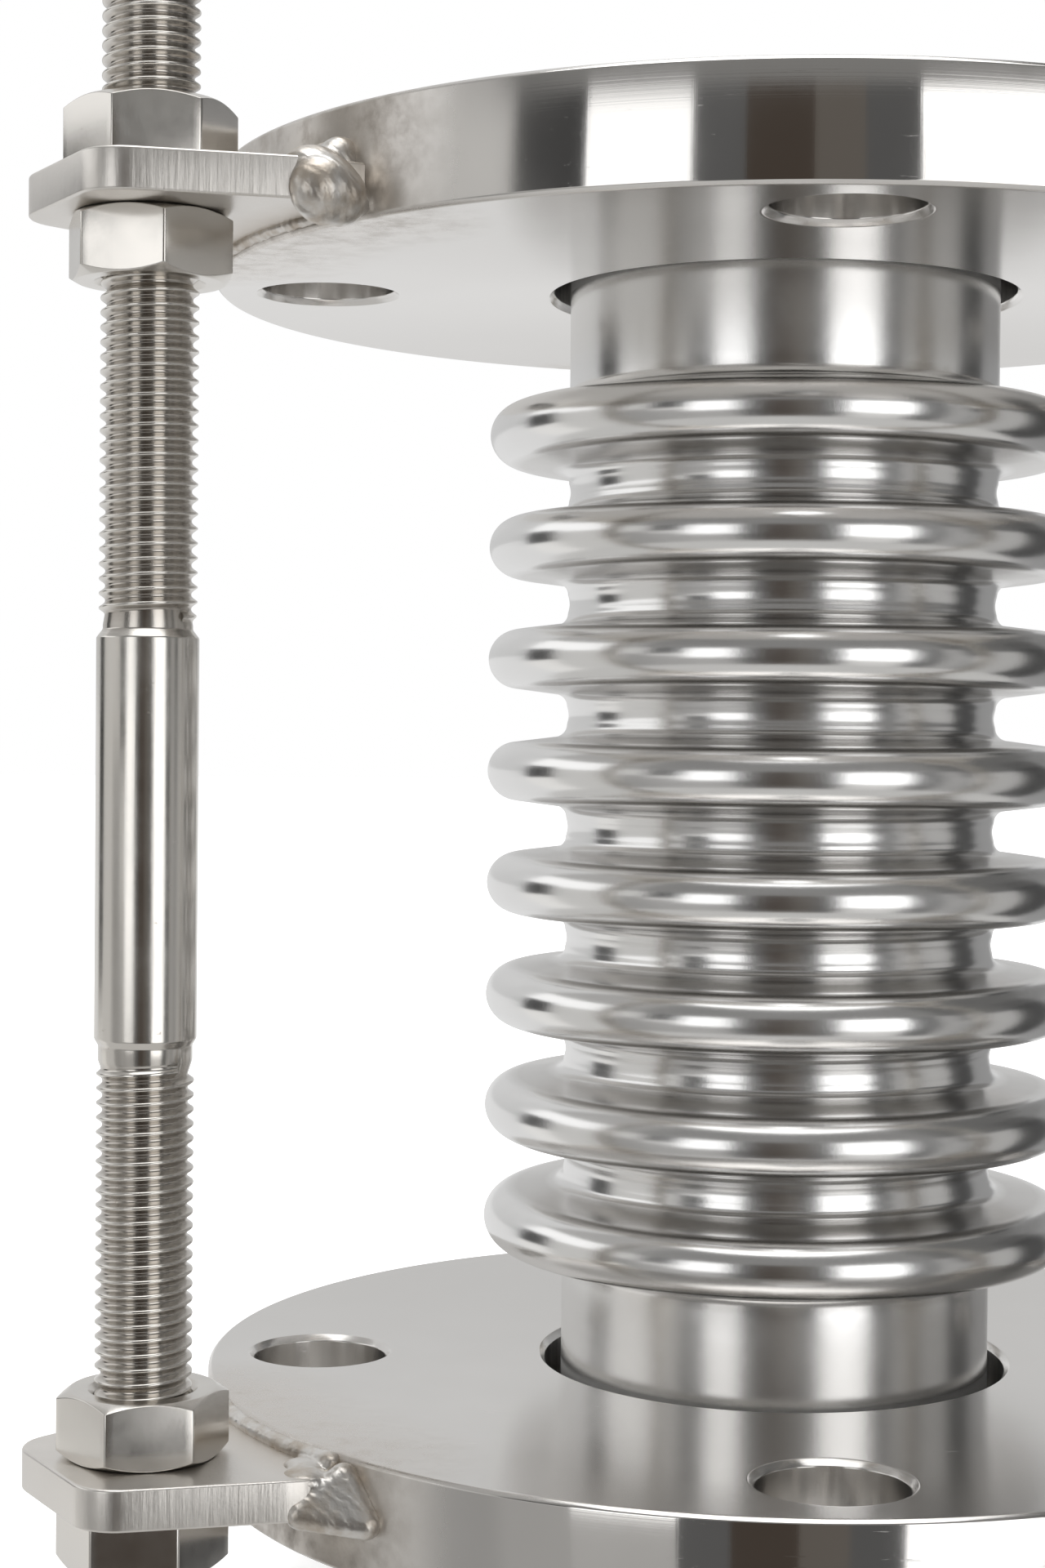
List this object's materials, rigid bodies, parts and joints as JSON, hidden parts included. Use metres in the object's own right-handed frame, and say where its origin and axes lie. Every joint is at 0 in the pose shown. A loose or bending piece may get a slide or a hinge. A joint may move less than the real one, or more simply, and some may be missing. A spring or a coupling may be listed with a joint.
{
  "type": "metal bellows expansion joint",
  "caption": "Stainless bellows expansion joint with loose drilled flanges at both ends, held by threaded tie rods, hex nuts and welded lugs.",
  "frame": {"origin": "centre of the lower sealing face, on the pipe axis", "axes": "+Z along the pipe from the lower flange to the upper one; +X and +Y each through a bolt hole; +Y also through tie rod 1"},
  "size_m": [0.192, 0.183, 0.215],
  "materials": {
    "turned_plate": "fine turned, semi bright",
    "turned_ring": "fine turned",
    "formed_tube": "bright formed stainless sheet",
    "weld_metal": "brushed weld bead",
    "blasted_plate": "satin, bead blasted",
    "rod_steel": "bright drawn with rolled thread",
    "nut_steel": "bright, slightly yellow"
  },
  "bodies": {
    "lower": {"lower_flange": "turned_plate", "lower_lap_ring": "turned_ring", "bellows": "formed_tube", "lower_cuff_weld": "weld_metal", "lower_lug_1": "blasted_plate", "lower_lug_2": "blasted_plate", "lower_lug_3": "blasted_plate", "lower_lug_weld_1": "weld_metal", "lower_lug_weld_2": "weld_metal", "lower_lug_weld_3": "weld_metal", "tie_rod_1": "rod_steel", "tie_rod_2": "rod_steel", "tie_rod_3": "rod_steel", "lower_outer_nut_1": "nut_steel", "lower_outer_nut_2": "nut_steel", "lower_outer_nut_3": "nut_steel", "lower_inner_nut_1": "nut_steel", "lower_inner_nut_2": "nut_steel", "lower_inner_nut_3": "nut_steel"},
    "upper": {"upper_flange": "turned_plate", "upper_lap_ring": "turned_ring", "upper_cuff_weld": "weld_metal", "upper_lug_1": "blasted_plate", "upper_lug_2": "blasted_plate", "upper_lug_3": "blasted_plate", "upper_lug_weld_1": "weld_metal", "upper_lug_weld_2": "weld_metal", "upper_lug_weld_3": "weld_metal"},
    "upper_inner_nut_1": {"upper_inner_nut_1": "nut_steel"},
    "upper_inner_nut_2": {"upper_inner_nut_2": "nut_steel"},
    "upper_inner_nut_3": {"upper_inner_nut_3": "nut_steel"},
    "upper_outer_nut_1": {"upper_outer_nut_1": "nut_steel"},
    "upper_outer_nut_2": {"upper_outer_nut_2": "nut_steel"},
    "upper_outer_nut_3": {"upper_outer_nut_3": "nut_steel"}
  },
  "joints": [
    {"name": "axial_travel", "type": "slide", "parent": "lower", "child": "upper", "axis": [0, 0, 1], "range_m": [-0.02, 0.008], "stiffness_N_per_m": 40000, "deforming": ["bellows"]},
    {"name": "upper_inner_nut_1_turn", "type": "hinge", "parent": "upper", "child": "upper_inner_nut_1", "pos_m": [0, 0.0935, 0.166], "axis": [0, 0, 1], "range_deg": [-4120, 1650]},
    {"name": "upper_inner_nut_2_turn", "type": "hinge", "parent": "upper", "child": "upper_inner_nut_2", "pos_m": [-0.08097, -0.04675, 0.166], "axis": [0, 0, 1], "range_deg": [-4120, 1650]},
    {"name": "upper_inner_nut_3_turn", "type": "hinge", "parent": "upper", "child": "upper_inner_nut_3", "pos_m": [0.08097, -0.04675, 0.166], "axis": [0, 0, 1], "range_deg": [-4120, 1650]},
    {"name": "upper_outer_nut_1_turn", "type": "hinge", "parent": "upper", "child": "upper_outer_nut_1", "pos_m": [0, 0.0935, 0.166], "axis": [0, 0, 1], "range_deg": [-4120, 1650]},
    {"name": "upper_outer_nut_2_turn", "type": "hinge", "parent": "upper", "child": "upper_outer_nut_2", "pos_m": [-0.08097, -0.04675, 0.166], "axis": [0, 0, 1], "range_deg": [-4120, 1650]},
    {"name": "upper_outer_nut_3_turn", "type": "hinge", "parent": "upper", "child": "upper_outer_nut_3", "pos_m": [0.08097, -0.04675, 0.166], "axis": [0, 0, 1], "range_deg": [-4120, 1650]}
  ],
  "couplings": [
    {"joint": "upper_inner_nut_1_turn", "follows": "axial_travel", "rad_per_m": 3590.4},
    {"joint": "upper_inner_nut_2_turn", "follows": "axial_travel", "rad_per_m": 3590.4},
    {"joint": "upper_inner_nut_3_turn", "follows": "axial_travel", "rad_per_m": 3590.4},
    {"joint": "upper_outer_nut_1_turn", "follows": "axial_travel", "rad_per_m": 3590.4},
    {"joint": "upper_outer_nut_2_turn", "follows": "axial_travel", "rad_per_m": 3590.4},
    {"joint": "upper_outer_nut_3_turn", "follows": "axial_travel", "rad_per_m": 3590.4}
  ]
}
